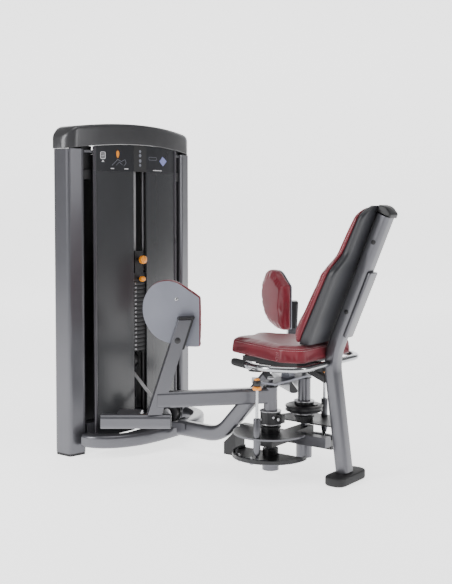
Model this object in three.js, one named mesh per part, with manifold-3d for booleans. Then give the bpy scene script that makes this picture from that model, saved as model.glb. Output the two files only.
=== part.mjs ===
// Hip abductor machine: a selectorised weight tower, a low frame, a reclined seat and two thigh levers.
// Millimetres, +Z up. The seat is at +X and the tower at -X. Left parts are at -Y and right parts at +Y.
// Everything is drawn about the centre plane Y = 0, and the whole group is centred over its base at the end.
import * as THREE from "three";
import { mergeVertices } from "three/addons/utils/BufferGeometryUtils.js";
import Module from "manifold-3d";

const wasm = await Module();
wasm.setup();

// ---- driving dimensions ----
const GAP = 0.3; // between faces that touch
const WALL = 4; // steel tube and panel wall
const SIDES = { left: -1, right: 1 };

const tower = { back: -758, front: -657, bulge: 52, halfWidth: 433, postWidth: 91, seam: 1420, arch: 32 };
const cap = { height: 98, lip: 6, shoulder: 42 };
const slot = { halfWidth: 46.5, top: 1322 };
const shroud = { outer: 288, bottom: 64, thick: 3 };
const bow = { bottom: 45, top: 105, width: 62 };
const spine = { start: -357, bottom: 67, height: 70, width: 58, rise: 48 };
const stack = { x: -662, depth: 88, width: 216, pitch: 20.1, count: 17, bottom: 447 };
const guide = { x: -648, y: 62, r: 9.5 };
const headPlate = { thick: 40, tower: 108 };
const pulley = { radius: 42, width: 30, x: -690, topZ: 1352, baseX: -676, baseZ: 398 };
const spinePulley = { x: -408, z: 168, radius: 43 };
const belt = { width: 23, thick: 3 };

const upright = { depth: 66, width: 60, kneeX: 481, kneeZ: 520, footX: 542.5, lean: 23, top: 1122 };
const foot = { halfLength: 114, radius: 48, height: 38 };
const seat = { front: 16, wideX: 366, rear: 468, frontHalf: 112, wideHalf: 238, bottom: 512, top: 578 };
const back = { bottom: 584, top: 1163, lowHalf: 168, topHalf: 115 };
const handle = { z: 495, radius: 13, reach: 245, rearX: 478 };

const pivot = { x: 255.4, y: 132.9, shaftR: 15 };
const leverTube = { r: 29, bottom: 283, top: 388 };
const lever = { angle: 49, beamBottom: 319, beamTop: 386, width: 50 };
const post = { bottom: 292.4, top: 684, lowInner: 472, lowOuter: 530, highInner: 347, highOuter: 400 };
const footBar = { reach: 500, z: 262, turn: 12, peg: 113 };
const disc = { radius: 160, z: 190, thick: 6 };
const dish = { radius: 165, bottom: 92, top: 108 };
const shaftBase = { radius: 36, bottom: 32 };
const pin = { dx: 24, dy: 135, rod: 6.5, sleeve: 14.5 };
const pad = { rearX: 43, rearY: 355, angle: 30, length: 242, bottom: 566, plate: 6, cushion: 54 };

const radians = THREE.MathUtils.degToRad;

// ---- materials ----
const finish = (color, roughness, metalness) => ({ color, roughness, metalness });
const STEEL = finish(0x76767a, 0.38, 0.6);
const SHROUD = finish(0x3c3c40, 0.4, 0.1);
const BLACK = finish(0x19191b, 0.55, 0.1);
const RUBBER = finish(0x18181a, 0.85, 0);
const CHROME = finish(0xc8cacc, 0.15, 1);
const VINYL = finish(0x731e2d, 0.5, 0);
const ORANGE = finish(0xeb9628, 0.4, 0);
const SHELL = finish(0x484a50, 0.55, 0);
const PLATE = finish(0x84868e, 0.45, 0.3);
const IRON = finish(0x232325, 0.6, 0.4);

const machine = new THREE.Group();
machine.name = "hip_abductor_machine";

function add(name, geometry, look, parent = machine) {
  const mesh = new THREE.Mesh(geometry, new THREE.MeshStandardMaterial(look));
  mesh.name = name;
  parent.add(mesh);
  return mesh;
}

// ---- shapes ----
// A closed outline through the corners, each rounded to the radius with short chords.
function rounded(corners, radius, steps = 3) {
  const outline = new THREE.Shape();
  corners.forEach(([x, y, own], i) => {
    const here = new THREE.Vector2(x, y);
    const before = new THREE.Vector2(...corners.at(i - 1));
    const after = new THREE.Vector2(...corners[(i + 1) % corners.length]);
    const r = own ?? radius;
    const toBefore = before.sub(here);
    const toAfter = after.sub(here);
    const half = Math.acos(toBefore.dot(toAfter) / toBefore.length() / toAfter.length()) / 2;
    const run = Math.min(r / Math.tan(half), 0.49 * toBefore.length(), 0.49 * toAfter.length());
    const start = here.clone().addScaledVector(toBefore.normalize(), run);
    const end = here.clone().addScaledVector(toAfter.normalize(), run);
    const count = r > 0 ? steps : 0;
    for (let k = 0; k <= count; k++) {
      const t = count ? k / count : 0;
      const a = start.clone().lerp(here, t);
      const b = here.clone().lerp(end, t);
      const point = a.lerp(b, t);
      if (i === 0 && k === 0) outline.moveTo(point.x, point.y);
      else outline.lineTo(point.x, point.y);
    }
  });
  return outline;
}

const rectangle = (w, h, r = 0, steps = 3) =>
  rounded([[-w / 2, -h / 2], [w / 2, -h / 2], [w / 2, h / 2], [-w / 2, h / 2]], r, steps);

// A rounded tube section with an open bore.
function tubeSection(w, h, r, steps = 2) {
  const section = rectangle(w, h, r, steps);
  section.holes.push(rectangle(w - 2 * WALL, h - 2 * WALL, r - WALL, 1));
  return section;
}

const flat = (shape, depth, curveSegments = 6) =>
  new THREE.ExtrudeGeometry(shape, { depth, bevelEnabled: false, curveSegments, steps: 1 });

// A plan outline (x, y) stood up between two heights.
const standing = (shape, bottom, top) => flat(shape, top - bottom).translate(0, 0, bottom);

// A front outline (y, z) pushed from one x to another.
const frontal = (shape, from, to) =>
  flat(shape, to - from).rotateX(Math.PI / 2).rotateZ(Math.PI / 2).translate(from, 0, 0);

// A side outline (x, z) pushed from one y to another.
const sideways = (shape, from, to) => flat(shape, to - from).rotateX(Math.PI / 2).translate(0, to, 0);

const box = (x0, x1, y0, y1, z0, z1) =>
  new THREE.BoxGeometry(x1 - x0, y1 - y0, z1 - z0).translate((x0 + x1) / 2, (y0 + y1) / 2, (z0 + z1) / 2);

// Turned pieces: profile points are [radius, height] about Z.
const turned = (profile, segments = 20) =>
  new THREE.LatheGeometry(profile.map(([r, z]) => new THREE.Vector2(r, z)), segments).rotateX(Math.PI / 2);

const rod = (r, z0, z1, segments = 16) => turned([[0, z0], [r, z0], [r, z1], [0, z1]], segments);

const swept = (section, path, steps) =>
  new THREE.ExtrudeGeometry(section, { extrudePath: path, steps, curveSegments: 4, bevelEnabled: false });

// Straight runs joined by round bends.
function bentPath(points, radius) {
  const path = new THREE.CurvePath();
  let from = points[0];
  for (let i = 1; i < points.length - 1; i++) {
    const into = points[i - 1].clone().sub(points[i]);
    const out = points[i + 1].clone().sub(points[i]);
    const run = Math.min(radius, 0.45 * into.length(), 0.45 * out.length());
    const start = points[i].clone().addScaledVector(into.normalize(), run);
    const end = points[i].clone().addScaledVector(out.normalize(), run);
    path.add(new THREE.LineCurve3(from, start));
    path.add(new THREE.QuadraticBezierCurve3(start, points[i], end));
    from = end;
  }
  path.add(new THREE.LineCurve3(from, points.at(-1)));
  return path;
}

// ---- cutting and joining ----
function solid(geometry) {
  const bare = geometry.clone();
  bare.deleteAttribute("normal");
  bare.deleteAttribute("uv");
  const merged = mergeVertices(bare, 1e-4);
  return new wasm.Manifold(
    new wasm.Mesh({
      numProp: 3,
      vertProperties: new Float32Array(merged.attributes.position.array),
      triVerts: new Uint32Array(merged.index.array),
    }),
  );
}

function geometryOf(body) {
  const mesh = body.getMesh();
  const geometry = new THREE.BufferGeometry();
  geometry.setAttribute("position", new THREE.BufferAttribute(mesh.vertProperties, 3));
  geometry.setIndex(new THREE.BufferAttribute(mesh.triVerts, 1));
  geometry.computeVertexNormals();
  return geometry;
}

const joined = (...pieces) => geometryOf(pieces.map(solid).reduce((a, b) => a.add(b)));
const cut = (piece, ...tools) => geometryOf(tools.map(solid).reduce((a, b) => a.subtract(b), solid(piece)));
const common = (a, b) => geometryOf(solid(a).intersect(solid(b)));

// ---- tower ----
const frontX = (y) => tower.front + tower.bulge * (1 - (y / tower.halfWidth) ** 2);
const archZ = (y) => tower.seam + tower.arch * (1 - (y / tower.halfWidth) ** 2);

// Points along the bowed front between two y, offset forward.
function frontCurve(y0, y1, offset, count = 10) {
  return Array.from({ length: count + 1 }, (_, i) => {
    const y = y0 + ((y1 - y0) * i) / count;
    return [frontX(y) + offset, y];
  });
}

function shapeOf(points) {
  const outline = new THREE.Shape();
  points.forEach(([x, y], i) => (i ? outline.lineTo(x, y) : outline.moveTo(x, y)));
  return outline;
}

function postSection(side, inset) {
  const outer = side * (tower.halfWidth - inset);
  const inner = side * (tower.halfWidth - tower.postWidth + inset);
  const corners = [
    [tower.back + inset, inner],
    [tower.back + inset, outer],
    [tower.front - inset, outer],
    [frontX(inner) - inset, inner],
  ];
  return rounded(side > 0 ? corners.reverse() : corners, inset ? 12 : 18, inset ? 2 : 4);
}

const postFoot = 12;
for (const [name, side] of Object.entries(SIDES)) {
  const section = postSection(side, 0);
  section.holes.push(postSection(side, WALL));
  add(`tower_post_${name}`, standing(section, postFoot, tower.seam - GAP), STEEL);
  add(`post_foot_${name}`, standing(postSection(side, 3), 0, postFoot - GAP), RUBBER);
}

function topCap() {
  const half = tower.halfWidth + cap.lip;
  const plan = [
    ...frontCurve(-half + 30, half - 30, cap.lip, 14),
    [tower.front - 8, half - 8],
    [tower.front - 40, half],
    [tower.back - cap.lip, half],
    [tower.back - cap.lip, -half],
    [tower.front - 40, -half],
    [tower.front - 8, -half + 8],
  ];
  const crown = [];
  const soffit = [];
  const count = 12;
  for (let i = 0; i <= count; i++) {
    const y = -half + (2 * half * i) / count;
    crown.push([y, archZ(y) + cap.height - (i % count ? 0 : cap.shoulder)]);
    soffit.unshift([y, Math.max(tower.seam, archZ(y))]);
  }
  for (const inset of [16, 40]) {
    const y = half - inset;
    const z = archZ(y) + cap.height - cap.shoulder * (1 - inset / 60) ** 2;
    crown.splice(crown.findIndex(([at]) => at > -y), 0, [-y, z]);
    crown.splice(crown.findIndex(([at]) => at > y), 0, [y, z]);
  }
  return common(
    standing(shapeOf(plan), tower.seam - 10, tower.seam + 200),
    frontal(shapeOf([...crown, ...soffit]), tower.back - 20, tower.front + 100),
  );
}
add("top_cap", topCap(), BLACK);

// A bowed sheet that follows the tower's front between two y.
const bowedSheet = (y0, y1, offset) =>
  shapeOf([...frontCurve(y0, y1, offset), ...frontCurve(y0, y1, offset - shroud.thick).reverse()]);

function headerPanel() {
  const outline = [[-shroud.outer, slot.top], [shroud.outer, slot.top]];
  for (const [, y] of frontCurve(shroud.outer, -shroud.outer, 0)) outline.push([y, archZ(y) - 1]);
  return common(
    standing(bowedSheet(-shroud.outer, shroud.outer, -4), slot.top - 10, tower.seam + 60),
    frontal(shapeOf(outline), tower.back, tower.front + 100),
  );
}
add("header_panel", headerPanel(), SHROUD);

for (const [name, side] of Object.entries(SIDES)) {
  const inner = side * slot.halfWidth;
  const outer = side * shroud.outer;
  const y0 = Math.min(inner, outer);
  const y1 = Math.max(inner, outer);
  const sheet = standing(bowedSheet(y0, y1, -4), shroud.bottom, slot.top - GAP);
  const lipX = frontX(inner) - 4;
  const lip = [inner, inner + side * shroud.thick].sort((a, b) => a - b);
  const flange = box(lipX - 8, lipX - 1, lip[0], lip[1], shroud.bottom, slot.top - GAP);
  add(`front_shroud_${name}`, joined(sheet, flange), SHROUD);
}

const innerHalf = tower.halfWidth - tower.postWidth - GAP;
add("rear_shroud", box(tower.back + 3, tower.back + 6, -innerHalf, innerHalf, shroud.bottom, 1404), BLACK);

const topPlate = { bottom: 1404.3, top: 1416 };
const rodHole = (side, z0, z1) =>
  rod(guide.r + 1, z0, z1, 14).translate(guide.x, side * guide.y, 0);

const crossTube = rectangle(60, 80);
crossTube.holes.push(rectangle(60 - 2 * WALL, 80 - 2 * WALL));
const crossTop = 142;
const crossBar = sideways(crossTube, -innerHalf, innerHalf).translate(-667, 0, crossTop - 40);
add("bottom_crossmember", crossBar, STEEL);

// ---- base bow and its cover ----
const bowCorners = [[-665, 366], [-578, 362], [-503, 314], [-448, 215], [-428, 101], [-424, 0]];
const bowPoints = [
  ...bowCorners.map(([x, y]) => new THREE.Vector3(x, -y, 0)),
  ...bowCorners.slice(0, -1).reverse().map(([x, y]) => new THREE.Vector3(x, y, 0)),
];
const bowCurve = new THREE.CatmullRomCurve3(bowPoints);
const bowMiddle = (bow.bottom + bow.top) / 2;
const bowSection = tubeSection(bow.top - bow.bottom, bow.width, 14);
const bowTube = swept(bowSection, bowCurve, 24).translate(0, 0, bowMiddle);
const towerPlan = shapeOf([...frontCurve(-440, 440, GAP + 0.8, 20), [tower.back, 440], [tower.back, -440]]);
add("base_bow", cut(bowTube, standing(towerPlan, 20, 140)), STEEL);

const coverPoints = bowCurve.getPoints(24).map((p) => [p.x - bow.width / 2 - 4, p.y * 0.9]);
const coverEdge = coverPoints.filter(([x]) => x > -600);
add("base_cover", standing(shapeOf([...coverEdge, [-602, 318], [-602, -318]]), 56, 62), BLACK);

// ---- guide rods, spacers and weights ----
for (const [name, side] of Object.entries(SIDES)) {
  const place = [guide.x, side * guide.y, 0];
  const shaft = rod(guide.r, crossTop + GAP, topPlate.bottom - GAP, 14);
  add(`guide_rod_${name}`, shaft.translate(...place), CHROME);
  const bore = guide.r + GAP;
  const rest = stack.bottom - GAP;
  const profile = [[bore, 143], [14, 143], [14, 430], [22, 430], [22, rest], [bore, rest], [bore, 143]];
  add(`rod_spacer_${name}`, turned(profile, 14).translate(...place), BLACK);
}

const stackTop = stack.bottom + stack.pitch * stack.count;
const plateFront = stack.x + stack.depth / 2;
const plateBack = stack.x - stack.depth / 2;
function weightStack() {
  const core = box(stack.x - 34, stack.x + 34, -90, 90, stack.bottom, stackTop - 1.6);
  const plates = [];
  for (let i = 0; i < stack.count; i++) {
    const bottom = stack.bottom + i * stack.pitch;
    const top = bottom + stack.pitch - 1.6;
    plates.push(box(plateBack, plateFront, -stack.width / 2, stack.width / 2, bottom, top));
  }
  const bores = [-1, 1].map((side) => rodHole(side, 400, 900));
  bores.push(rod(11, 400, 900, 14).translate(guide.x, 0, 0));
  return cut(joined(core, ...plates), ...bores);
}
add("weight_stack", weightStack(), IRON);

const headBottom = stackTop;
const headTop = headBottom + headPlate.thick;
function headPlateShape() {
  const plate = box(plateBack, plateFront, -stack.width / 2, stack.width / 2, headBottom, headTop);
  const column = box(stack.x - 20, plateFront, -30, 30, headTop - 1, headTop + headPlate.tower);
  const bores = [-1, 1].map((side) => rodHole(side, 700, 1000));
  const pinBore = rod(7, 0, 80, 12).rotateY(Math.PI / 2).translate(plateFront - 55, 0, headBottom + 12);
  const knobBore = rod(8, 0, 80, 12).rotateY(Math.PI / 2).translate(plateFront - 14, 0, headTop + 66);
  const stemBore = rod(9, 700, headBottom + 30, 14).translate(guide.x, 0, 0);
  return cut(joined(plate, column), ...bores, stemBore, pinBore, knobBore);
}
add("head_plate", headPlateShape(), IRON);
const stem = cut(
  rod(8.5, stack.bottom + 6, headBottom + 29.7, 14),
  rod(7, -20, 20, 12).rotateY(Math.PI / 2).translate(0, 0, headBottom + 12),
);
add("selector_stem", stem.translate(guide.x, 0, 0), CHROME);

// Pins lie along X, with their knobs in front of the shroud slot.
const alongX = (profile, segments = 14) => turned(profile, segments).rotateY(Math.PI / 2);
const selectorProfile = [[0, -48], [6, -48], [6, 1], [9, 4], [13, 12], [13, 28], [9, 34], [0, 34]];
add("selector_pin", alongX(selectorProfile).translate(plateFront + 2, 0, headBottom + 12), ORANGE);
const incrementProfile = [[0, -13], [7, -13], [7, 8], [18, 12], [20, 20], [19, 38], [12, 44], [0, 44]];
add("increment_pin", alongX(incrementProfile).translate(plateFront + 2, 0, headTop + 66), ORANGE);

// ---- pulleys and belts ----
const sheave = (radius, width, bore) => {
  const half = width / 2;
  const floor = radius - 6;
  const near = [[bore, -half], [radius, -half], [radius, -half + 2], [floor, -half + 2]];
  const far = [[floor, half - 2], [radius, half - 2], [radius, half], [bore, half], [bore, -half]];
  return turned([...near, ...far], 20).rotateX(Math.PI / 2);
};
const axle = (r, half) => rod(r, -half, half, 12).rotateX(Math.PI / 2);
const pulleyBore = 8;
const wheel = sheave(pulley.radius, pulley.width, pulleyBore);
add("top_pulley", wheel.clone().translate(pulley.x, 0, pulley.topZ), BLACK);
add("base_pulley", wheel.translate(pulley.baseX, 0, pulley.baseZ), BLACK);
add(
  "spine_pulley",
  sheave(spinePulley.radius, pulley.width, pulleyBore).translate(spinePulley.x, 0, spinePulley.z),
  BLACK,
);

// Two cheeks that carry a pulley's axle.
function cheeks(x, z, low, high, half = pulley.width / 2 + 2) {
  const plates = [-half - 5, half].map((y) => box(x - 16, x + 16, y, y + 5, low, high));
  return [...plates, axle(pulleyBore - GAP, half + 1).translate(x, 0, z)];
}
// The top crossmember is a plate between the posts, with the top pulley's cheeks welded under it.
const topCheeks = cheeks(pulley.x, pulley.topZ, pulley.topZ - 14, topPlate.bottom + 2);
const topPlan = shapeOf([...frontCurve(-innerHalf, innerHalf, -9), [-745, innerHalf], [-745, -innerHalf]]);
const topWeb = standing(topPlan, topPlate.bottom, topPlate.top);
add("top_crossmember", joined(topWeb, ...topCheeks), STEEL);
const baseCheeks = cheeks(pulley.baseX, pulley.baseZ, crossTop + GAP, pulley.baseZ + 14);
add(
  "base_pulley_bracket",
  joined(...baseCheeks, box(pulley.baseX - 16, pulley.baseX + 16, -36, 36, crossTop + GAP, crossTop + 8),
    box(pulley.baseX - 16, pulley.baseX + 16, -22, 22, 200, 206)),
  STEEL,
);
const spineCheeks = cheeks(spinePulley.x, spinePulley.z, bow.top + GAP, spinePulley.z + 14, 31);
const bracketFloor = box(-455, spinePulley.x + 3, -35, 35, bow.top + GAP, bow.top + 5);
const cheekRails = [-36, 31].map((y) => box(-455, -300, y, y + 5, bow.top + GAP, bow.top + 26));
add("spine_pulley_bracket", joined(...spineCheeks, bracketFloor, ...cheekRails), STEEL);

const liftX = pulley.x + pulley.radius;
const liftBottom = headTop + headPlate.tower + GAP;
add(
  "lift_belt",
  box(liftX - 4, liftX - 1, -belt.width / 2, belt.width / 2, liftBottom, pulley.topZ - 8),
  RUBBER,
);
// The drive belt runs behind the stack, under the base pulley, then over the spine pulley into the spine.
const beltRadius = pulley.radius - 6 + belt.thick / 2 + 0.6;
const dropX = spinePulley.x - pulley.baseX;
const dropZ = pulley.baseZ - spinePulley.z;
const leave = Math.PI * 1.5 - Math.atan2(dropZ, dropX);
const around = (x, z, radius, from, to, count = 8) =>
  Array.from({ length: count + 1 }, (_, i) => {
    const a = from + ((to - from) * i) / count;
    return new THREE.Vector2(x + radius * Math.cos(a), z + radius * Math.sin(a));
  });
const beltLine = [
  new THREE.Vector2(pulley.x - beltRadius, pulley.topZ - 10),
  ...around(pulley.baseX, pulley.baseZ, beltRadius, Math.PI, leave),
  ...around(spinePulley.x, spinePulley.z, beltRadius + 1, leave, Math.PI * 1.5),
  new THREE.Vector2(-330, spinePulley.z - beltRadius - 1),
];
// A strip of even thickness along a line of points.
function strip(line, thick) {
  const shift = (side) =>
    line.map((point, i) => {
      const along = line[Math.min(i + 1, line.length - 1)].clone().sub(line[Math.max(i - 1, 0)]).normalize();
      return [point.x - along.y * side * (thick / 2), point.y + along.x * side * (thick / 2)];
    });
  return shapeOf([...shift(-1), ...shift(1).reverse()]);
}
add("drive_belt", sideways(strip(beltLine, belt.thick), -belt.width / 2, belt.width / 2), RUBBER);

// ---- low frame ----
const spineMiddle = spine.bottom + spine.height / 2;
const riseStart = -112;
const riseEnd = 400;
const riseRun = (riseEnd - spineMiddle) / Math.tan(radians(spine.rise));
const spinePath = bentPath(
  [
    new THREE.Vector3(spine.start, 0, spineMiddle),
    new THREE.Vector3(riseStart, 0, spineMiddle),
    new THREE.Vector3(riseStart + riseRun, 0, riseEnd),
  ],
  70,
);
add("spine", swept(tubeSection(spine.height, spine.width, 20, 3), spinePath, 14), STEEL);

const housing = rounded([[-70, 26], [-4, 26], [-4, 143], [-42, 108], [-70, 81.5]], 0);
add("spine_housing", sideways(housing, -36, 36), BLACK);

const lowBeam = { bottom: 134, top: 172 };
const lowFrame = joined(
  box(8, 303, -20, 20, lowBeam.bottom, lowBeam.top),
  box(pivot.x - 30, pivot.x + 30, -pivot.y - 34, pivot.y + 34, lowBeam.bottom, lowBeam.top),
);
const shaftHoles = Object.values(SIDES).map((side) =>
  rod(pivot.shaftR + GAP, 100, 200, 18).translate(pivot.x, side * pivot.y, 0),
);
add("pivot_crossmember", cut(lowFrame, ...shaftHoles), BLACK);
add("rear_strut", box(303 + GAP, 462, -22, 22, lowBeam.bottom - 4, lowBeam.top), STEEL);

// ---- seat frame and upper yoke ----
const yoke = { bottom: 402, top: 410 };
const yokePlate = joined(
  box(pivot.x - 38, pivot.x + 45, -pivot.y - 32, pivot.y + 32, yoke.bottom, yoke.top),
  box(pivot.x - 20, pivot.x + 20, -22, 22, yoke.top - 1, 455 - GAP),
);
const yokeHoles = Object.values(SIDES).map((side) =>
  rod(9.3, 390, 430, 14).translate(pivot.x, side * pivot.y, 0),
);
add("pivot_yoke", cut(yokePlate, ...yokeHoles), PLATE);

const rail = { bottom: 455, top: 490 };
const diagonal = rounded([[300, 456], [330, 456], [452, 408], [452, 436], [340, 478], [300, 478]], 0);
const seatFrame = joined(
  box(118, 447, -25, 25, rail.bottom, rail.top),
  box(170, 210, -125, 125, rail.top - 12, rail.top),
  box(330, 370, -150, 150, rail.top - 12, rail.top),
  sideways(diagonal, -18, 18),
  box(120, 400, -150, 150, rail.top - 1, seat.bottom - GAP),
);
add("seat_frame", seatFrame, BLACK);

// ---- rear upright, its cap and foot ----
const slope = Math.tan(radians(upright.lean));
const uprightX = (z) => upright.kneeX + (z - upright.kneeZ - 34) * slope + 6;
const uprightPath = bentPath(
  [
    new THREE.Vector3(upright.footX, 0, foot.height + GAP),
    new THREE.Vector3(upright.kneeX - 3, 0, upright.kneeZ),
    new THREE.Vector3(uprightX(upright.top), 0, upright.top),
  ],
  70,
);
const uprightTube = swept(tubeSection(upright.width, upright.depth, 16, 3), uprightPath, 12);
const levelBottom = box(450, 650, -60, 60, 0, foot.height + GAP);
const handleBore = rod(handle.radius + GAP, -60, 60, 16)
  .rotateX(Math.PI / 2)
  .translate(handle.rearX, 0, handle.z);
add("rear_upright", cut(uprightTube, handleBore, levelBottom), STEEL);

const capTilt = new THREE.Group();
capTilt.position.set(uprightX(upright.top), 0, upright.top);
capTilt.rotation.y = radians(upright.lean);
machine.add(capTilt);
const capBlock = rounded([[-33, 0.6], [36, 0.6], [36, 20, 14], [0, 40, 60], [-33, 34, 10]], 2, 4);
add("upright_cap", sideways(capBlock, -34, 34), BLACK, capTilt);

const stadium = rounded(
  [
    [-foot.radius, -foot.halfLength],
    [foot.radius, -foot.halfLength],
    [foot.radius, foot.halfLength],
    [-foot.radius, foot.halfLength],
  ],
  foot.radius,
  8,
);
add("rear_foot", standing(stadium, 0, foot.height).translate(upright.footX + 4, 0, 0), RUBBER);

// ---- handles ----
const handlePath = (side) =>
  [
    [handle.rearX, side * 0.1],
    [handle.rearX, side * handle.reach],
    [330, side * 298],
    [232, side * 262],
  ].map(([x, y]) => new THREE.Vector3(x, y, 0));
const handleLine = bentPath([...handlePath(-1).reverse(), ...handlePath(1)], 110);
const handleRound = new THREE.EllipseCurve(0, 0, handle.radius, handle.radius).getPoints(12).slice(0, -1);
add("handle_bar", swept(new THREE.Shape(handleRound), handleLine, 42).translate(0, 0, handle.z), CHROME);

const gripEnd = new THREE.Vector3(232, 262, 0);
const gripRun = new THREE.Vector3(-98, -36, 0);
for (const [name, side] of Object.entries(SIDES)) {
  const grip = new THREE.Group();
  grip.position.set(gripEnd.x, side * gripEnd.y, handle.z);
  grip.rotation.z = Math.atan2(side * gripRun.y, gripRun.x);
  machine.add(grip);
  const profile = [[0, GAP], [17, GAP], [17, 110], [14, 118], [0, 118]];
  add(`grip_${name}`, alongX(profile, 16), RUBBER, grip);
}

// ---- upholstery ----
const seatOutline = rounded(
  [
    [seat.front, -seat.frontHalf, 45],
    [seat.wideX, -seat.wideHalf, 45],
    [seat.rear, -seat.wideHalf + 40, 50],
    [seat.rear, seat.wideHalf - 40, 50],
    [seat.wideX, seat.wideHalf, 45],
    [seat.front, seat.frontHalf, 45],
  ],
  40,
  4,
);
add("seat_pad", cut(standing(seatOutline, seat.bottom, seat.top), box(444, 520, -36, 36, 500, 600)), VINYL);

const backOutline = rounded(
  [
    [-back.lowHalf + 10, back.bottom, 30],
    [back.lowHalf - 10, back.bottom, 30],
    [back.lowHalf, 700, 60],
    [back.lowHalf, 890, 50],
    [back.topHalf, 965, 60],
    [back.topHalf - 2, 1135, 40],
    [0, back.top + 8, 150],
    [-back.topHalf + 2, 1135, 40],
    [-back.topHalf, 965, 60],
    [-back.lowHalf, 890, 50],
    [-back.lowHalf, 700, 60],
  ],
  30,
  3,
);
const backBlock = frontal(backOutline, 250, 800);
// The upright's front face, which the shell lies on.
const restX = (z) => uprightX(z) - upright.depth / 2 / Math.cos(radians(upright.lean)) - 0.5;
const shellFront = (z) => restX(z) - THREE.MathUtils.mapLinear(z, 600, 1120, 54, 30);
const padFront = (z) => shellFront(z) - THREE.MathUtils.mapLinear(z, 640, 1120, 58, 26);
const lowZ = 560;
const highZ = 1180;
const shellSide = shapeOf([
  [restX(lowZ), lowZ],
  [restX(highZ), highZ],
  [shellFront(highZ), highZ],
  [shellFront(lowZ), lowZ],
]);
add("back_shell", common(backBlock, sideways(shellSide, -200, 200)), SHELL);
const padSide = shapeOf([
  [shellFront(lowZ) - GAP, lowZ],
  [shellFront(highZ) - GAP, highZ],
  [padFront(1165) + 26, highZ],
  [padFront(1140), 1140],
  [padFront(660), 660],
  [padFront(610) + 14, 610],
  [padFront(lowZ) + 48, lowZ],
]);
add("back_pad", common(backBlock, sideways(padSide, -200, 200)), VINYL);

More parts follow.
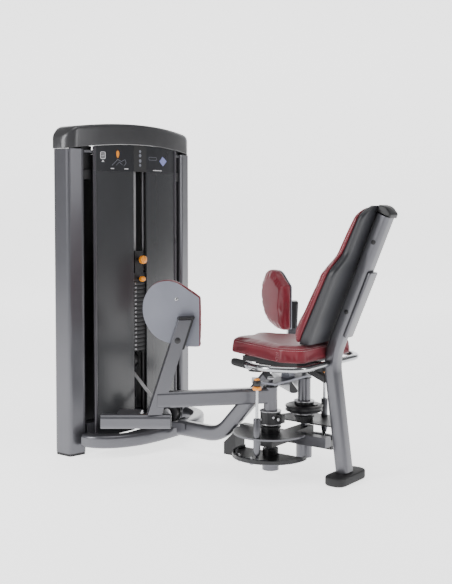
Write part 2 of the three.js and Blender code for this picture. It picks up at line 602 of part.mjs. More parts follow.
// ---- levers ----
// Each lever is drawn in a group whose +X is the beam and whose +Y is the side away from the user.
function leverParts(name, side) {
  const shaftSteps = [
    [0, shaftBase.bottom],
    [shaftBase.radius, shaftBase.bottom],
    [shaftBase.radius, dish.bottom - GAP],
    [pivot.shaftR, dish.bottom - GAP],
    [pivot.shaftR, 396],
    [9, 396],
    [9, 420],
    [0, 420],
  ];
  add(`pivot_shaft_${name}`, turned(shaftSteps, 20).translate(pivot.x, side * pivot.y, 0), STEEL);

  const arm = new THREE.Group();
  arm.position.set(pivot.x, side * pivot.y, 0);
  arm.rotation.z = side < 0 ? Math.PI + radians(lever.angle) : Math.PI - radians(lever.angle);
  machine.add(arm);
  const out = side < 0 ? 1 : -1; // local +Y is away from the user on the left, and towards on the right

  const bore = rod(pivot.shaftR + GAP, 100, 500, 18);
  const tube = rod(leverTube.r, leverTube.bottom, leverTube.top, 24);
  const beam = frontal(rectangle(lever.width, lever.beamTop - lever.beamBottom, 12, 3), 10, 490)
    .translate(0, 0, (lever.beamTop + lever.beamBottom) / 2);
  const upstand = sideways(
    rounded(
      [
        [post.lowInner, post.bottom],
        [post.lowOuter, post.bottom],
        [post.highOuter, post.top],
        [post.highInner, post.top],
      ],
      0,
    ),
    3 - lever.width / 2,
    lever.width / 2 - 3,
  );
  add(`lever_arm_${name}`, cut(joined(tube, beam, upstand), bore), STEEL, arm);

  const footRail = new THREE.Group();
  footRail.position.set(footBar.reach, 0, footBar.z);
  footRail.rotation.z = -out * radians(footBar.turn);
  arm.add(footRail);
  const bar = frontal(rectangle(46, 60, 16, 3), -68, 222);
  const peg = frontal(rectangle(110, 34, 14, 3), 0, 128)
    .rotateZ((-out * Math.PI) / 2)
    .translate(footBar.peg, -out * 18, 2);
  add(`footrest_${name}`, joined(bar, peg), STEEL, footRail);

  const padPlane = new THREE.Group();
  padPlane.position.set(pad.rearX, side * pad.rearY, 0);
  padPlane.rotation.z = side < 0 ? Math.PI + radians(pad.angle) : Math.PI - radians(pad.angle);
  machine.add(padPlane);
  // Along the pad from its rear edge, and up.
  const outline = (grow) =>
    rounded(
      [
        [-grow, pad.bottom - grow, 12],
        [90, pad.bottom - grow, 400],
        [192 + grow / 2, 600 - grow, 400],
        [pad.length + grow, 680, 400],
        [pad.length + grow, 770, 400],
        [190, 838 + grow, 400],
        [110, 846 + grow, 400],
        [-grow, 772 + grow, 14],
      ],
      40,
      4,
    );
  const layer = (grow, from, to) =>
    out > 0 ? sideways(outline(grow), -to, -from) : sideways(outline(grow), from, to);
  add(`pad_plate_${name}`, layer(0, 0, pad.plate), PLATE, padPlane);
  add(`knee_pad_${name}`, layer(8, pad.plate + GAP, pad.plate + pad.cushion), VINYL, padPlane);

  // The start disc and the sector are half discs on the outward side.
  const half = new THREE.Group();
  half.position.set(pivot.x, side * pivot.y, 0);
  machine.add(half);
  const halfDisc = (radius, back) => {
    const edge = [];
    const count = 16;
    const from = Math.asin(back / radius);
    for (let i = 0; i <= count; i++) {
      const a = -from + ((Math.PI + 2 * from) * i) / count;
      edge.push([radius * Math.cos(a), side * radius * Math.sin(a)]);
    }
    return shapeOf(side > 0 ? edge : edge.reverse());
  };
  const hubSteps = [
    [0, disc.z + 1],
    [40, disc.z + 1],
    [40, 214],
    [46, 214],
    [46, 220],
    [34, 220],
    [34, 226],
    [44, 226],
    [44, leverTube.bottom - GAP],
    [0, leverTube.bottom - GAP],
  ];
  const hub = turned(hubSteps, 20);
  const sleevePlace = [pin.dx, side * pin.dy, 0];
  const sleeveSteps = [[0, 122], [10, 122], [pin.sleeve, 140], [pin.sleeve, 276], [0, 276]];
  const sleeve = turned(sleeveSteps, 14).translate(...sleevePlace);
  const pinBore = rod(pin.rod + GAP, 90, 300, 14).translate(...sleevePlace);
  const arcPlate = standing(halfDisc(disc.radius, 30), disc.z, disc.z + disc.thick);
  add(`start_disc_${name}`, cut(joined(arcPlate, hub, sleeve), bore, pinBore), BLACK, half);

  const floorPlate = standing(halfDisc(dish.radius, 34), dish.bottom, dish.bottom + 5);
  const rim = cut(
    standing(halfDisc(dish.radius, 34), dish.bottom, dish.top),
    standing(halfDisc(dish.radius - 5, 40), dish.bottom - 5, dish.top + 5),
  );
  const dishHub = rod(34, dish.bottom, 124, 20);
  const stops = [-64, 8].map((x) =>
    rod(5, dish.bottom + 2, 119, 10).translate(x, side * (151 - Math.abs(x) / 4), 0),
  );
  const startHoles = Array.from({ length: 6 }, (_, i) => {
    const a = radians(56 + i * 14);
    const reach = Math.hypot(pin.dx, pin.dy);
    return rod(pin.rod + 0.8, 80, 120, 10).translate(reach * Math.cos(a), side * reach * Math.sin(a), 0);
  });
  const shaftBore = rod(pivot.shaftR + GAP, 50, 150, 18);
  add(
    `sector_${name}`,
    cut(joined(floorPlate, rim, dishHub, ...stops), shaftBore, ...startHoles),
    BLACK,
    half,
  );

  const knob = [
    [0, 98],
    [pin.rod, 98],
    [pin.rod, 398],
    [19, 399],
    [19, 412],
    [17, 413],
    [18, 432],
    [13, 440],
    [12, 447],
    [0, 447],
  ];
  add(`pull_pin_${name}`, turned(knob, 16).translate(...sleevePlace), ORANGE, half);
}
for (const [name, side] of Object.entries(SIDES)) leverParts(name, side);

// ---- centre the machine over its base ----
machine.updateMatrixWorld(true);
const bounds = new THREE.Box3().setFromObject(machine, true);
machine.position.set(-(bounds.min.x + bounds.max.x) / 2, -(bounds.min.y + bounds.max.y) / 2, -bounds.min.z);

export default machine;
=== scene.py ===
import math

import bmesh
import bpy
import numpy as np
from mathutils import Matrix, Vector
from mathutils.bvhtree import BVHTree


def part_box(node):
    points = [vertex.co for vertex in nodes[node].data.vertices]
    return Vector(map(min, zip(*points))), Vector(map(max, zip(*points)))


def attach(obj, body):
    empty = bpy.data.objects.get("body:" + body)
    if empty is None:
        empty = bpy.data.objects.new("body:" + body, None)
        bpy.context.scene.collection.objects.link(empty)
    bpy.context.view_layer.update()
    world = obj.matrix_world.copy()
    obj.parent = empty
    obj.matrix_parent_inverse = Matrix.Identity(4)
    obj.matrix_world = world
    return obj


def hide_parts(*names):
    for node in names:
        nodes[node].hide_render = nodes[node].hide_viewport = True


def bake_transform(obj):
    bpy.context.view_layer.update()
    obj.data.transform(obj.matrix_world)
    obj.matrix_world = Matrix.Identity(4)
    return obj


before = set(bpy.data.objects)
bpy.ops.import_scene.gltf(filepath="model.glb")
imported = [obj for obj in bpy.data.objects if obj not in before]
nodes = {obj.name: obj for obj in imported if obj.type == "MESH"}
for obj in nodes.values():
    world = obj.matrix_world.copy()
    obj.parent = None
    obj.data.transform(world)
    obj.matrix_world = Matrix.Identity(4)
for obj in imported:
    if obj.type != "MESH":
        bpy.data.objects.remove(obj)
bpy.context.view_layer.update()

# Lengths below are in millimetres in the machine's own drawing frame.
# place() turns them into the row frame's metres.
MM = 0.001
PIVOT_X, PIVOT_Y = 255.4, 132.9
LEVER_ANGLE = 49
shaft_low, shaft_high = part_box("pivot_shaft_left")
SHIFT = (shaft_low.x + shaft_high.x) / 2 - PIVOT_X * MM


def place(point, mirror=1):
    x, y, z = point
    return Vector((x * MM + SHIFT, y * MM * mirror, z * MM))


# ---- camera ----
camera_data = bpy.data.cameras.new("camera")
camera_data.sensor_width = 36
camera_data.lens = 59.86
camera_data.shift_y = -0.0705
camera_data.clip_end = 60
camera = bpy.data.objects.new("camera", camera_data)
camera.location = (2.5868 + SHIFT, -3.5269, 1.1716)
camera.rotation_euler = (math.radians(90 - 2.828), 0, math.radians(37.139))
bpy.context.scene.collection.objects.link(camera)
bpy.context.scene.camera = camera


# ---- materials ----
def linear(value):
    value /= 255
    return value / 12.92 if value <= 0.04045 else ((value + 0.055) / 1.055) ** 2.4


def colour(rgb):
    return (*[linear(v) for v in rgb], 1)


def scaled(rgb, factor):
    return tuple(min(255, v * factor) for v in rgb)


def material(
    name, rgb, rough, metal=0.0, grain=600, bump=0.05,
    vary=0.08, rough_vary=0.08, coat=0.0, wave=None, sheen=0.0,
):
    """A procedural finish: two-scale noise for colour and gloss, and a bump at the grain's own scale."""
    made = bpy.data.materials.new(name)
    made.use_nodes = True
    tree = made.node_tree
    new = tree.nodes.new
    link = tree.links.new
    shader = tree.nodes["Principled BSDF"]
    shader.inputs["Metallic"].default_value = metal
    shader.inputs["Coat Weight"].default_value = coat
    shader.inputs["Coat Roughness"].default_value = 0.15
    shader.inputs["Sheen Weight"].default_value = sheen
    where = new("ShaderNodeTexCoord")
    broad = new("ShaderNodeTexNoise")
    broad.inputs["Scale"].default_value = 9
    broad.inputs["Detail"].default_value = 5
    link(where.outputs["Object"], broad.inputs["Vector"])
    fine = new("ShaderNodeTexNoise")
    fine.inputs["Scale"].default_value = grain
    fine.inputs["Detail"].default_value = 3
    link(where.outputs["Object"], fine.inputs["Vector"])
    ramp = new("ShaderNodeValToRGB")
    ramp.color_ramp.elements[0].position = 0.3
    ramp.color_ramp.elements[0].color = colour(scaled(rgb, 1 - vary))
    ramp.color_ramp.elements[1].position = 0.7
    ramp.color_ramp.elements[1].color = colour(scaled(rgb, 1 + vary))
    link(broad.outputs["Fac"], ramp.inputs["Fac"])
    link(ramp.outputs["Color"], shader.inputs["Base Color"])
    gloss = new("ShaderNodeMapRange")
    gloss.inputs["To Min"].default_value = max(0.02, rough - rough_vary)
    gloss.inputs["To Max"].default_value = rough + rough_vary
    link(broad.outputs["Fac"], gloss.inputs["Value"])
    link(gloss.outputs["Result"], shader.inputs["Roughness"])
    height = fine.outputs["Fac"]
    if wave:
        ribs = new("ShaderNodeTexWave")
        ribs.bands_direction = wave[0]
        ribs.inputs["Scale"].default_value = wave[1]
        link(where.outputs["Object"], ribs.inputs["Vector"])
        height = ribs.outputs["Fac"]
    relief = new("ShaderNodeBump")
    relief.inputs["Strength"].default_value = bump
    relief.inputs["Distance"].default_value = 0.001
    link(height, relief.inputs["Height"])
    link(relief.outputs["Normal"], shader.inputs["Normal"])
    return made


def vinyl_material(name, rgb):
    """Upholstery vinyl: pebbled grain of small cells, soft creases and a slight sheen."""
    made = material(name, rgb, 0.42, grain=350, bump=0.1, vary=0.07, rough_vary=0.07, sheen=0.15)
    tree = made.node_tree
    cells = tree.nodes.new("ShaderNodeTexVoronoi")
    cells.inputs["Scale"].default_value = 620
    where = next(n for n in tree.nodes if n.bl_idname == "ShaderNodeTexCoord")
    tree.links.new(where.outputs["Object"], cells.inputs["Vector"])
    grain = tree.nodes.new("ShaderNodeBump")
    grain.inputs["Strength"].default_value = 0.22
    grain.inputs["Distance"].default_value = 0.0006
    soft = next(n for n in tree.nodes if n.bl_idname == "ShaderNodeBump" and n is not grain)
    tree.links.new(cells.outputs["Distance"], grain.inputs["Height"])
    tree.links.new(soft.outputs["Normal"], grain.inputs["Normal"])
    shader = tree.nodes["Principled BSDF"]
    tree.links.new(grain.outputs["Normal"], shader.inputs["Normal"])
    return made


PAINT = material(
    "frame_paint", (90, 90, 95), 0.3, metal=0.6, grain=900, bump=0.02, vary=0.015, rough_vary=0.03, coat=0.3
)
SHROUD = material(
    "shroud_plastic", (44, 45, 48), 0.26, grain=1200, bump=0.012, vary=0.015, rough_vary=0.015, coat=0.2
)
CAP = material("cap_plastic", (66, 66, 68), 0.32, metal=0.4, grain=1100, bump=0.05, vary=0.03, coat=0.2)
HEADER = material(
    "header_print", (26, 27, 32), 0.28, grain=1200, bump=0.012, vary=0.02, rough_vary=0.015, coat=0.3
)
BLACK = material("black_plastic", (26, 26, 28), 0.45, grain=800, bump=0.08, vary=0.1)
BLACK_STEEL = material("black_powder_coat", (22, 22, 25), 0.4, metal=0.2, grain=700, bump=0.12, vary=0.1)
GREY_PLATE = material("grey_plate_paint", (122, 124, 134), 0.42, metal=0.3, grain=900, bump=0.05, vary=0.03)
RUBBER = material("moulded_rubber", (27, 27, 29), 0.7, grain=500, bump=0.15, vary=0.1)
BELT = material("ribbed_belt", (150, 150, 152), 0.6, grain=500, bump=0.4, vary=0.1, wave=("Z", 180))
CHROME = material(
    "chrome", (168, 169, 172), 0.16, metal=1.0, grain=300, bump=0.01, vary=0.02, rough_vary=0.04
)
STEEL = material("zinc_steel", (165, 165, 168), 0.32, metal=0.9, grain=500, bump=0.05, vary=0.06)
IRON = material("cast_iron_paint", (30, 30, 32), 0.5, metal=0.3, grain=260, bump=0.35, vary=0.12)
SHELL = material("shell_plastic", (36, 37, 41), 0.42, grain=500, bump=0.25, vary=0.05)
ORANGE = material("orange_plastic", (232, 142, 28), 0.35, grain=700, bump=0.04, vary=0.05, coat=0.2)
WHITE = material("white_print", (214, 214, 218), 0.5, grain=900, bump=0.02, vary=0.03)
BLUE = material("blue_print", (128, 134, 190), 0.5, grain=900, bump=0.02, vary=0.04)
THREAD = material("white_thread", (205, 190, 190), 0.7, grain=1500, bump=0.3, vary=0.06)
# Shroud plastic made lighter for the rolled shroud and header edges: a painted highlight standing for the
# light those edges catch.
SHROUD_LIT_EDGE = material("shroud_plastic_painted_highlight", (58, 56, 62), 0.3, metal=0.3, grain=900, bump=0.04, vary=0.04, coat=0.2)
VINYL = vinyl_material("red_vinyl", (108, 10, 30))


# ---- mesh helpers ----
def build(name, verts, faces, look, body, slot, replaces=(), mirror=1, smooth=40):
    mesh = bpy.data.meshes.new(name)
    mesh.from_pydata([place(v, mirror) for v in verts], [], faces)
    bm = bmesh.new()
    bm.from_mesh(mesh)
    bmesh.ops.remove_doubles(bm, verts=bm.verts, dist=1e-6)
    bmesh.ops.recalc_face_normals(bm, faces=bm.faces)
    bm.to_mesh(mesh)
    bm.free()
    mesh.materials.append(look)
    piece = bpy.data.objects.new(name, mesh)
    bpy.context.scene.collection.objects.link(piece)
    soften(piece, smooth)
    if body:
        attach(piece, body)
    if replaces:
        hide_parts(*replaces)
    return piece


def soften(piece, angle=40):
    piece.data.shade_smooth()
    piece.data.set_sharp_from_angle(angle=math.radians(angle))


def bevel(piece, width, segments=3, angle=30):
    mod = piece.modifiers.new("edges", "BEVEL")
    mod.width = width * MM
    mod.segments = segments
    mod.limit_method = "ANGLE"
    mod.angle_limit = math.radians(angle)
    mod.use_clamp_overlap = True
    return piece


def lofted(rings, closed=False):
    """Faces over rings of equal count; the ends are capped unless the rings close on themselves."""
    verts = [p for ring in rings for p in ring]
    count = len(rings[0])
    faces = []
    rows = len(rings) if closed else len(rings) - 1
    for i in range(rows):
        a, b = i * count, ((i + 1) % len(rings)) * count
        faces += [(a + k, a + (k + 1) % count, b + (k + 1) % count, b + k) for k in range(count)]
    if not closed:
        faces += [tuple(range(count)), tuple(range(len(verts) - 1, len(verts) - 1 - count, -1))]
    return verts, faces


def merged(*parts):
    verts, faces = [], []
    for part_verts, part_faces in parts:
        start = len(verts)
        verts += list(part_verts)
        faces += [tuple(i + start for i in face) for face in part_faces]
    return verts, faces


def moved(part, matrix):
    verts, faces = part
    return [tuple(matrix @ Vector(v)) for v in verts], faces


def rounded_rect(w, h, r, steps=5):
    """Corner-rounded rectangle about the origin, anticlockwise."""
    r = min(r, w / 2 - 0.01, h / 2 - 0.01)
    points = []
    for k, (sx, sy) in enumerate(((1, 1), (-1, 1), (-1, -1), (1, -1))):
        for i in range(steps + 1):
            a = math.radians(90 * k + 90 * i / steps)
            points.append((sx * (w / 2 - r) + r * math.cos(a), sy * (h / 2 - r) + r * math.sin(a)))
    return points


def rounded_polygon(corners, steps=6):
    """Corners are (u, v, radius); each is turned into an arc."""
    points = []
    for i, (x, y, r) in enumerate(corners):
        here = Vector((x, y))
        before = Vector(corners[i - 1][:2]) - here
        after = Vector(corners[(i + 1) % len(corners)][:2]) - here
        half = before.angle(after) / 2
        run = min(r / math.tan(half), 0.49 * before.length, 0.49 * after.length)
        start = here + before.normalized() * run
        end = here + after.normalized() * run
        for k in range(steps + 1):
            t = k / steps
            points.append(tuple(start.lerp(here, t).lerp(here.lerp(end, t), t)))
    return points


def bent(points, radius, steps=10):
    """Straight runs joined by round bends, as a list of points."""
    points = [Vector(p) for p in points]
    line = [points[0]]
    for i in range(1, len(points) - 1):
        into = points[i - 1] - points[i]
        out = points[i + 1] - points[i]
        run = min(radius, 0.45 * into.length, 0.45 * out.length)
        start = points[i] + into.normalized() * run
        end = points[i] + out.normalized() * run
        for k in range(steps + 1):
            t = k / steps
            line.append(start.lerp(points[i], t).lerp(points[i].lerp(end, t), t))
    line.append(points[-1])
    return line


def sweep(line, section, across):
    """A section (u along across, v square to it and the line) carried along a line."""
    line = [Vector(p) for p in line]
    across = Vector(across)
    rings = []
    for i, p in enumerate(line):
        along = (line[min(i + 1, len(line) - 1)] - line[max(i - 1, 0)]).normalized()
        side = (across - along * across.dot(along)).normalized()
        up = along.cross(side)
        rings.append([tuple(p + side * u + up * v) for u, v in section])
    return lofted(rings)


def circle(r, count=24):
    angles = [2 * math.pi * i / count for i in range(count)]
    return [(r * math.cos(a), r * math.sin(a)) for a in angles]


def lathe(profile, count=40, centre=(0, 0, 0), axis=(0, 0, 1)):
    """Turns a profile of (radius, height) about an axis through centre."""
    turn = Vector((0, 0, 1)).rotation_difference(Vector(axis)).to_matrix().to_4x4()
    matrix = Matrix.Translation(Vector(centre)) @ turn
    rings = [[(r * c, r * s, z) for c, s in circle(1, count)] for r, z in profile]
    return moved(lofted(rings), matrix)


def prism(outline, low, high, axes="xyz"):
    """An outline pushed between two heights along the third of axes."""
    order = ["xyz".index(a) for a in axes]

    def point(u, v, w):
        p = [0, 0, 0]
        for value, at in zip((u, v, w), order):
            p[at] = value
        return tuple(p)

    return lofted([[point(u, v, w) for u, v in outline] for w in (low, high)])


def block(x0, x1, y0, y1, z0, z1):
    return prism([(x0, y0), (x1, y0), (x1, y1), (x0, y1)], z0, z1)


def soft_edged(outline, low, high, radius, axes="xyz", steps=4):
    """A prism whose two rims are rounded over."""
    centre = Vector((sum(p[0] for p in outline), sum(p[1] for p in outline))) / len(outline)
    order = ["xyz".index(a) for a in axes]
    rings = []

    def inset(amount):
        count = len(outline)
        loop = []
        for i in range(count):
            a, b, c = Vector(outline[i - 1]), Vector(outline[i]), Vector(outline[(i + 1) % count])
            edge = (c - a).normalized()
            normal = Vector((-edge.y, edge.x))
            if normal.dot(centre - b) < 0:
                normal = -normal
            loop.append(b + normal * amount)
        return loop

    levels = []
    for k in range(steps + 1):
        a = math.pi / 2 * k / steps
        levels.append((radius * (1 - math.sin(a)), low + radius * (1 - math.cos(a))))
    levels += [(amount, high - (w - low)) for amount, w in reversed(levels)]
    for amount, w in levels:
        ring = []
        for u, v in inset(amount):
            p = [0, 0, 0]
            p[order[0]], p[order[1]], p[order[2]] = u, v, w
            ring.append(tuple(p))
        rings.append(ring)
    return lofted(rings)


def screw(centre, axis, radius=6, height=4):
    """A button-head screw with a socket."""
    head = [(radius, 0), (radius, height * 0.35), (radius * 0.8, height * 0.8), (radius * 0.5, height)]
    socket = [(radius * 0.45, height), (radius * 0.4, height * 0.4), (0.01, height * 0.4)]
    return lathe([*head, *socket], 18, centre, axis)


def hexagon(centre, axis, radius=8, height=6):
    flank = [(radius * 0.9, 0), (radius, height * 0.15), (radius, height * 0.8)]
    return lathe([*flank, (radius * 0.8, height), (0.01, height)], 6, centre, axis)


# ---- CAD nodes that keep their shape ----
def keep(look, names, width=1.5, segments=2, angle=30):
    for name in names:
        node = nodes[name]
        node.data.materials.clear()
        node.data.materials.append(look)
        soften(node, 35)
        if width:
            bevel(node, width, segments, angle)


def both(name):
    return [name + "_left", name + "_right"]


keep(PAINT, [*both("tower_post"), *both("footrest"), *both("pivot_shaft"), *both("lever_arm")], 1.5)
keep(PAINT, ["top_crossmember", "bottom_crossmember", "rear_strut"], 1)
keep(PAINT, ["base_pulley_bracket", "spine_pulley_bracket"], 1)
keep(SHROUD, both("front_shroud"), 0)
keep(HEADER, ["header_panel"], 0)
keep(BLACK, ["base_cover", "rear_shroud", *both("rod_spacer")], 0.8)
keep(BLACK, ["top_pulley", "base_pulley", "spine_pulley"], 0.8)
keep(BLACK_STEEL, ["seat_frame", "pivot_crossmember", "spine_housing"], 1)
keep(BLACK_STEEL, [*both("start_disc"), *both("sector")], 1)
keep(GREY_PLATE, [*both("pad_plate"), "pivot_yoke"], 1)
keep(RUBBER, both("post_foot"), 1)
keep(BELT, ["drive_belt"], 0)
keep(STEEL, [*both("guide_rod"), "selector_stem"], 0)
keep(IRON, ["head_plate"], 2)

# ---- tower cap ----
TOWER_BACK, TOWER_FRONT, BULGE, HALF, SEAM, ARCH = -758, -657, 52, 433, 1420, 32
CAP_HALF, CAP_HEIGHT, SHOULDER = 439, 98, 42


def front_x(y):
    return TOWER_FRONT + BULGE * (1 - (y / HALF) ** 2)


def arch_z(y):
    return SEAM + ARCH * (1 - (y / HALF) ** 2)


def cap_rings():
    rings = []
    turns = np.linspace(0, math.pi / 2, 6)
    stations = [(-CAP_HALF + 12 * (1 - math.cos(a)), 12 * (1 - math.sin(a))) for a in turns]
    stations += [(y, 0) for y in np.linspace(-CAP_HALF + 16, CAP_HALF - 16, 70)]
    stations += [(-y, inset) for y, inset in reversed(stations[:6])]
    for y, inset in stations:
        edge = max(0, abs(y) - CAP_HALF + 60) / 60
        corner = max(0, abs(y) - CAP_HALF + 44) / 44
        low = max(SEAM, arch_z(y)) + inset * 0.2
        high = arch_z(y) + CAP_HEIGHT - SHOULDER * edge**2 - inset
        front = front_x(y) + 6 - 34 * corner**2.4 - inset
        back = TOWER_BACK - 6 + inset + 8 * corner**2
        section = rounded_polygon([(back, low, 3), (front, low, 3), (front, high, 20), (back, high, 14)], 5)
        rings.append([(x, y, z) for x, z in section])
    return rings


build("tower_cap", *lofted(cap_rings()), CAP, "frame", "black_plastic", ["top_cap"], smooth=50)
skirts = [block(-742, -662, y - 34, y + 34, 1330, 1436) for y in (-313, 313)]
build("tower_cap_skirt", *merged(*skirts), BLACK, "frame", "black_plastic")

# ---- weight stack: separate plates with number labels ----
PLATES, PITCH, STACK_LOW, STACK_FRONT, STACK_BACK = 17, 20.1, 447, -618, -706


def plate_parts():
    parts = []
    for i in range(PLATES):
        low = STACK_LOW + i * PITCH
        outline = rounded_rect(STACK_FRONT - STACK_BACK, 216, 6, 3)
        outline = [(x + (STACK_FRONT + STACK_BACK) / 2, y) for x, y in outline]
        parts.append(soft_edged(outline, low, low + PITCH - 1.4, 1.6, steps=2))
    return parts


build("weight_plates", *merged(*plate_parts()), IRON, "frame", "iron", ["weight_stack"])
labels = [
    prism(rounded_rect(26, 11, 2, 3), STACK_FRONT + 0.15, STACK_FRONT + 0.7, "yzx") for _ in range(PLATES)
]
labels = [
    moved(part, Matrix.Translation((0, -27, STACK_LOW + i * PITCH + 9.4))) for i, part in enumerate(labels)
]
build("plate_labels", *merged(*labels), BLACK, "frame", "iron")


def digits():
    """Plate numbers, as thin solids standing on the labels."""
    parts = []
    for i in range(PLATES):
        text = bpy.data.curves.new("digit", "FONT")
        text.body = str((PLATES - i) * 5)
        text.size = 12 * MM
        text.extrude = 0.25 * MM
        text.align_x = "CENTER"
        text.align_y = "CENTER"
        holder = bpy.data.objects.new("digit", text)
        bpy.context.scene.collection.objects.link(holder)
        bpy.context.view_layer.update()
        mesh = bpy.data.meshes.new_from_object(holder.evaluated_get(bpy.context.evaluated_depsgraph_get()))
        height = STACK_LOW + i * PITCH + 9.4
        stand = Matrix(((0, 0, 1, STACK_FRONT + 0.9), (1, 0, 0, -27), (0, 1, 0, height), (0, 0, 0, 1)))
        verts = [tuple(stand @ (v.co * 1000)) for v in mesh.vertices]
        parts.append((verts, [tuple(p.vertices) for p in mesh.polygons]))
        bpy.data.objects.remove(holder)
    return merged(*parts)


build("plate_numbers", *digits(), WHITE, "frame", "iron")

# ---- lift belt, a strip of 50 rings; on the machine it shortens as the carriage rises ----
belt_low, belt_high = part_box("lift_belt")
belt_corners = [
    (belt_low.x, belt_low.y), (belt_high.x, belt_low.y),
    (belt_high.x, belt_high.y), (belt_low.x, belt_high.y),
]
belt_rings = []
for z in np.linspace(belt_low.z, belt_high.z, 50):
    belt_rings.append([((x - SHIFT) / MM, y / MM, z / MM) for x, y in belt_corners])
lift_strip = build("lift_belt_strip", *lofted(belt_rings), BELT, None, "belt", ["lift_belt"])
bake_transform(lift_strip)

# ---- knobs of the two weight pins ----
for name, node, body, z, radius, start in (
    ("weight_pin_knob", "selector_pin", "weight_pin", 800.7, 13, -615),
    ("step_pin_knob", "increment_pin", "step_pin", 894.7, 20, -610),
):
    knob = [(radius * 0.45, 0), (radius * 0.7, 4), (radius * 0.95, 8), (radius, 14), (radius, 22)]
    knob += [(radius * 0.93, 28), (radius * 0.7, 32), (radius * 0.35, 33.5), (0.01, 33.8)]
    build(name, *lathe([(0.01, 0), *knob], 36, (start, 0, z), (1, 0, 0)), ORANGE, body, "orange", [node])
    length = 44 if node == "selector_pin" else 16
    rod = [(0.01, -length), (5, -length + 2), (5.5, -length + 4), (5.5, 1), (0.01, 1)]
    build(name + "_rod", *lathe(rod, 20, (start, 0, z), (1, 0, 0)), STEEL, body, "orange")

# ---- bent tubes ----
BOW = [(-665, 366), (-578, 362), (-503, 314), (-448, 215), (-428, 101), (-424, 0)]


def catmull(points, steps):
    """A centripetal spline through the points, as the bow is drawn."""
    points = [Vector(p) for p in points]
    points = [2 * points[0] - points[1], *points, 2 * points[-1] - points[-2]]
    line = []
    for i in range(1, len(points) - 2):
        p0, p1, p2, p3 = points[i - 1 : i + 3]
        d1, d2, d3 = ((b - a).length ** 0.5 for a, b in ((p0, p1), (p1, p2), (p2, p3)))
        m1 = (p2 - p1) + d2 * ((p1 - p0) / d1 - (p2 - p0) / (d1 + d2))
        m2 = (p2 - p1) + d2 * ((p3 - p2) / d3 - (p3 - p1) / (d2 + d3))
        for k in range(steps):
            t = k / steps
            line.append(
                p1 * (2 * t**3 - 3 * t**2 + 1)
                + m1 * (t**3 - 2 * t**2 + t)
                + p2 * (3 * t**2 - 2 * t**3)
                + m2 * (t**3 - t**2)
            )
    line.append(points[-2])
    return line


bow_line = [(x, -y, 75) for x, y in BOW] + [(x, y, 75) for x, y in BOW[-2::-1]]
build(
    "bow_tube",
    *sweep(catmull(bow_line, 8)[4:-4], rounded_rect(60, 62, 15, 5), (0, 0, 1)),
    PAINT, "frame", "frame_paint", ["base_bow"],
)
spine_run = (400 - 102) / math.tan(math.radians(48))
spine_line = bent([(-357, 0, 102), (-112, 0, 102), (-112 + spine_run, 0, 400)], 70, 12)
build(
    "spine_tube",
    *sweep(spine_line, rounded_rect(58, 70, 20, 6), (0, 1, 0)),
    PAINT, "frame", "frame_paint", ["spine"],
)

LEAN, KNEE_X, KNEE_Z, UPRIGHT_TOP = 23, 481, 520, 1122


def upright_x(z):
    return KNEE_X + (z - KNEE_Z - 34) * math.tan(math.radians(LEAN)) + 6


upright_end = (upright_x(UPRIGHT_TOP), 0, UPRIGHT_TOP)
upright_line = bent([(542.5, 0, 38), (KNEE_X - 3, 0, KNEE_Z), upright_end], 70, 12)
build(
    "upright_tube",
    *sweep(upright_line, rounded_rect(66, 60, 17, 6), (0, 1, 0)),
    PAINT, "frame", "frame_paint", ["rear_upright"],
)
plug_side = [(10, -1), (10, 0.6), (8, 1.8), (0.01, 2)]
plugs = [lathe(plug_side, 28, (upright_x(z) + 8, -33, z), (0, -1, 0)) for z in (720, 1012)]
build("upright_plugs", *merged(*plugs), BLACK, "frame", "black_plastic")

foot_outline = rounded_polygon([(499, -114, 48), (595, -114, 48), (595, 114, 48), (499, 114, 48)], 14)
build("foot_pad", *soft_edged(foot_outline, 0, 38, 7), RUBBER, "frame", "rubber", ["rear_foot"])

cap_lean = Matrix.Translation(upright_end) @ Matrix.Rotation(math.radians(LEAN), 4, "Y")
cap_side = rounded_polygon([(-33, 0.6, 2), (35, 0.6, 2), (35, 20, 14), (0, 39, 60), (-33, 33, 10)], 6)
build(
    "upright_end",
    *moved(soft_edged(cap_side, -34, 34, 6, "xzy"), cap_lean),
    BLACK, "frame", "black_plastic", ["upright_cap"],
)

# ---- handles ----
handle_side = [(478, 0, 495), (478, -245, 495), (330, -298, 495), (232, -262, 495)]
handle_line = bent([*reversed(handle_side), *[(x, -y, z) for x, y, z in handle_side[1:]]], 110, 14)
handle_tube = sweep(handle_line, circle(13, 24), (0, 0, 1))
build("handle_tube", *handle_tube, CHROME, "frame", "chrome", ["handle_bar"])
GRIP_END, GRIP_RUN = Vector((232, -262, 495)), Vector((-98, 36, 0)).normalized()
for side, mirror in (("left", 1), ("right", -1)):
    grip = [(0.01, 1), (14, 1), (16.4, 3)]
    for k in range(20):
        grip += [(16.9, 5 + k * 4.8), (16.9, 7.6 + k * 4.8), (16.2, 8.4 + k * 4.8), (16.2, 9.2 + k * 4.8)]
    grip += [(16.6, 103), (16, 106), (0.01, 106)]
    grip_round = lathe(grip, 32, GRIP_END, GRIP_RUN)
    build(f"hand_grip_{side}", *grip_round, RUBBER, "frame", "rubber", [f"grip_{side}"], mirror)
    end = [(0.01, 106.2), (14, 106.2), (15.5, 108), (15.5, 113), (13, 116.5), (7, 118), (0.01, 118)]
    build(f"grip_end_{side}", *lathe(end, 32, GRIP_END, GRIP_RUN), CHROME, "frame", "chrome", (), mirror)
    collar = [(13.2, -10), (17.6, -10), (17.9, -8), (17.9, 10), (17.4, 12), (13.2, 12)]
    collar_round = lathe(collar, 32, GRIP_END, GRIP_RUN)
    build(f"grip_collar_{side}", *collar_round, CHROME, "frame", "chrome", (), mirror)
    stay_line = [(236, -263, 488), (238, -250, 470), (240, -200, 462), (240, -120, 470)]
    stay = sweep(stay_line, rounded_rect(26, 8, 3, 3), (1, 0, 0))
    build(f"handle_stay_{side}", *stay, BLACK_STEEL, "frame", "black_steel", (), mirror)


